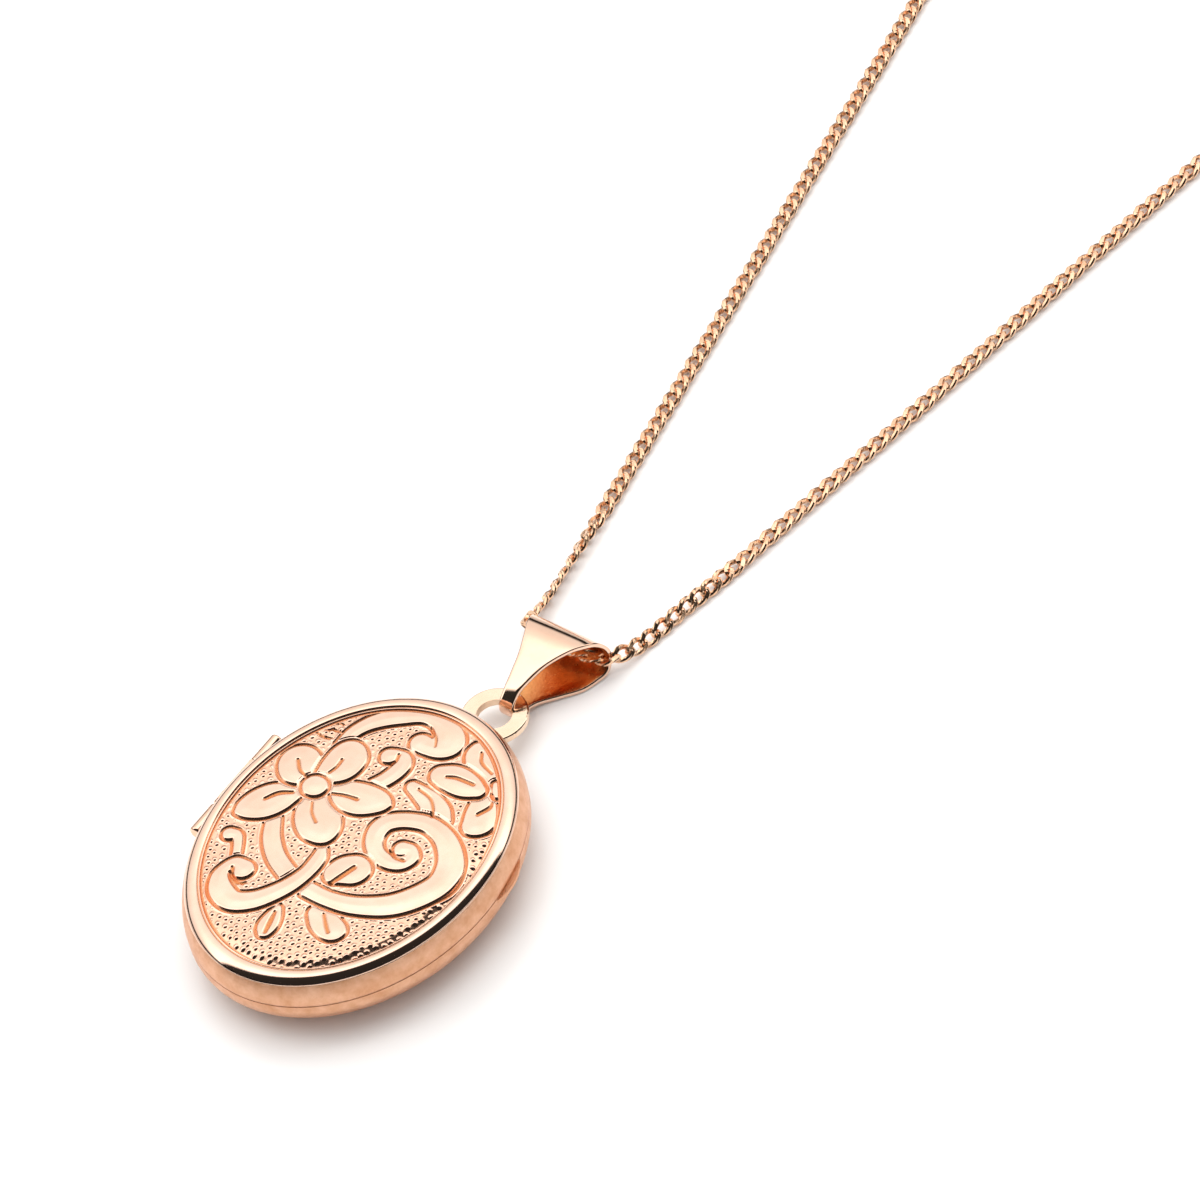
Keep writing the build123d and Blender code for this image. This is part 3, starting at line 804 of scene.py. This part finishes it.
def make_floor():
    """Pale board with a soft sheen under the object."""
    corners = [(-FLOOR_HALF, -FLOOR_HALF), (FLOOR_HALF, -FLOOR_HALF),
               (FLOOR_HALF, FLOOR_HALF), (-FLOOR_HALF, FLOOR_HALF)]
    floor = new_mesh("floor", [(x, y, FLOOR_Z) for x, y in corners], [(0, 1, 2, 3)])
    nodes = Nodes("white_board")
    haze = nodes.noise(40, 3.0, 0.5)
    colour = nodes.ramp(haze, [(0.3, (0.84, 0.83, 0.82)), (0.7, (0.87, 0.86, 0.855))])
    nodes.link(colour, nodes.shader.inputs["Base Color"])
    nodes.link(nodes.between(haze, 0.16, 0.22), nodes.shader.inputs["Roughness"])
    floor.data.materials.append(nodes.material)


def camera_axes():
    """Right, up and back of the camera."""
    azimuth, elevation, roll = map(radians, (CAMERA_AZIMUTH, CAMERA_ELEVATION, CAMERA_ROLL))
    back = Vector((sin(azimuth) * cos(elevation), -cos(azimuth) * cos(elevation), sin(elevation)))
    level = Vector((cos(azimuth), sin(azimuth), 0))
    upright = back.cross(level)
    right = level * cos(roll) - upright * sin(roll)
    up = level * sin(roll) + upright * cos(roll)
    return right, up, back


def make_camera():
    right, up, back = camera_axes()
    data = bpy.data.cameras.new("camera")
    data.lens = CAMERA_LENS
    data.sensor_width = 36.0
    data.clip_start = 0.01
    data.clip_end = 20.0
    camera = bpy.data.objects.new("camera", data)
    turn = Matrix((right, up, back)).transposed().to_4x4()
    place = (Vector(CAMERA_TARGET) + back * CAMERA_DISTANCE) * MM
    camera.matrix_world = Matrix.Translation(place) @ turn
    bpy.context.scene.collection.objects.link(camera)
    bpy.context.scene.camera = camera


# Name, azimuth and elevation in degrees, distance and width in metres, and power in watts.
SOFTBOXES = [
    ("key", 235, 64, 1.0, 1.7, 7.5),
    ("fill", 60, 72, 1.1, 2.0, 13.0),
]


def softbox(name, azimuth, elevation, distance, size, power):
    """A square soft light on the floor that polished metal does not mirror."""
    data = bpy.data.lights.new(name, "AREA")
    data.shape = "RECTANGLE"
    data.size = data.size_y = size
    data.energy = power
    light = bpy.data.objects.new(name, data)
    light.visible_glossy = False
    a, e = radians(azimuth), radians(elevation)
    away = Vector((sin(a) * cos(e), -cos(a) * cos(e), sin(e)))
    light.matrix_world = (
        Matrix.Translation(away * distance) @ away.to_track_quat("Z", "Y").to_matrix().to_4x4()
    )
    bpy.context.scene.collection.objects.link(light)


# Brightness of the tent round the object, by degrees from the near horizon, over the top
# and down to the far horizon.
TENT = [(0, 0.02), (93, 0.03), (102, 1.9), (120, 1.8), (132, 1.25), (142, 1.05), (180, 0.85)]
TENT_PEAK = 2.0
NEAR_STRIP = [(0, 0.0), (4, 0.0), (5.5, 1.0), (12, 1.0), (14, 0.0), (180, 0.0)]
# Share of that brightness by height above the horizon, as the sine of the elevation.
HORIZON = [(0, 0.02), (0.15, 0.03), (0.27, 1.0), (1, 1.0)]


def ramp_node(tree, source, stops):
    """Brightness ramp from (position 0 to 1, level 0 to 1) stops."""
    ramp = tree.nodes.new("ShaderNodeValToRGB")
    elements = ramp.color_ramp.elements
    for place, level in stops[1:-1]:
        elements.new(place).color = (level, level, level, 1)
    for element, (_, level) in ((elements[0], stops[0]), (elements[-1], stops[-1])):
        element.color = (level, level, level, 1)
    tree.links.new(source, ramp.inputs["Fac"])
    return ramp.outputs["Color"]


def maths(tree, operation, first, second):
    """A maths node on two outputs, or on an output and a number."""
    node = tree.nodes.new("ShaderNodeMath")
    node.operation = operation
    for value, socket in ((first, node.inputs[0]), (second, node.inputs[1])):
        if isinstance(value, (int, float)):
            socket.default_value = value
        else:
            tree.links.new(value, socket)
    return node.outputs[0]


def make_light():
    """A tent that is bright beyond and above, with a dark gap on the near side."""
    world = bpy.data.worlds.new("studio")
    bpy.context.scene.world = world
    world.use_nodes = True
    tree = world.node_tree
    place = tree.nodes.new("ShaderNodeTexCoord")
    dot = tree.nodes.new("ShaderNodeVectorMath")
    dot.operation = "DOT_PRODUCT"
    a = radians(CAMERA_AZIMUTH)
    dot.inputs[1].default_value = (sin(a), -cos(a), 0)
    apart = tree.nodes.new("ShaderNodeSeparateXYZ")
    tree.links.new(place.outputs["Generated"], dot.inputs[0])
    tree.links.new(place.outputs["Generated"], apart.inputs[0])
    height = apart.outputs["Z"]
    over = maths(tree, "DIVIDE", maths(tree, "ARCTAN2", height, dot.outputs["Value"]), pi)
    tent = ramp_node(tree, over, [(degrees / 180, level / TENT_PEAK) for degrees, level in TENT])
    strip = ramp_node(tree, over, [(degrees / 180, level) for degrees, level in NEAR_STRIP])
    shade = ramp_node(tree, height, HORIZON)
    lit = maths(tree, "MULTIPLY", maths(tree, "MULTIPLY", tent, shade), TENT_PEAK)
    total = maths(tree, "ADD", lit, strip)
    tree.links.new(total, tree.nodes["Background"].inputs["Strength"])
    tree.nodes["Background"].inputs["Color"].default_value = (1.0, 0.99, 0.97, 1)
    for name, azimuth, elevation, distance, size, power in SOFTBOXES:
        softbox(name, azimuth, elevation, distance, size, power)
    bpy.context.scene.view_settings.view_transform = "Standard"


# ---------------------------------------------------------------- assembly

def main():
    looks = make_materials()
    dress_nodes(looks)
    make_camera()
    make_floor()
    make_light()

    strands = {
        "left": (LEFT_ROUTE, LEFT_MOUTH, -1, 0.0),
        "right": (RIGHT_ROUTE, RIGHT_MOUTH, 1, PITCH),
    }
    for word, (route, mouth, side, first) in strands.items():
        points = [START_IN_BAIL, *mouth, *route]
        points += [*coil_points(route, side), *tail_points(route, side)]
        line = route_line(f"{word}_route", points)
        chain = curb_chain(f"chain_{word}_links", line, first, side, looks["chain"])
        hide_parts(f"chain_{word}", f"chain_{word}_coil", f"chain_{word}_tail")
        if side < 0:
            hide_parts("chain_in_bail")
        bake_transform(chain)

    bail = bail_strip(looks["polished"], looks["bail_inside"])
    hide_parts("bail")
    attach(bail, "bail_loop")

    panel, edge = front_panel(looks["engraved"])
    rim = front_rim(edge, looks["engraved"], looks["satin_and_shade"])
    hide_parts("front_cover")
    for piece in (panel, rim):
        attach(piece, "front_case")


main()
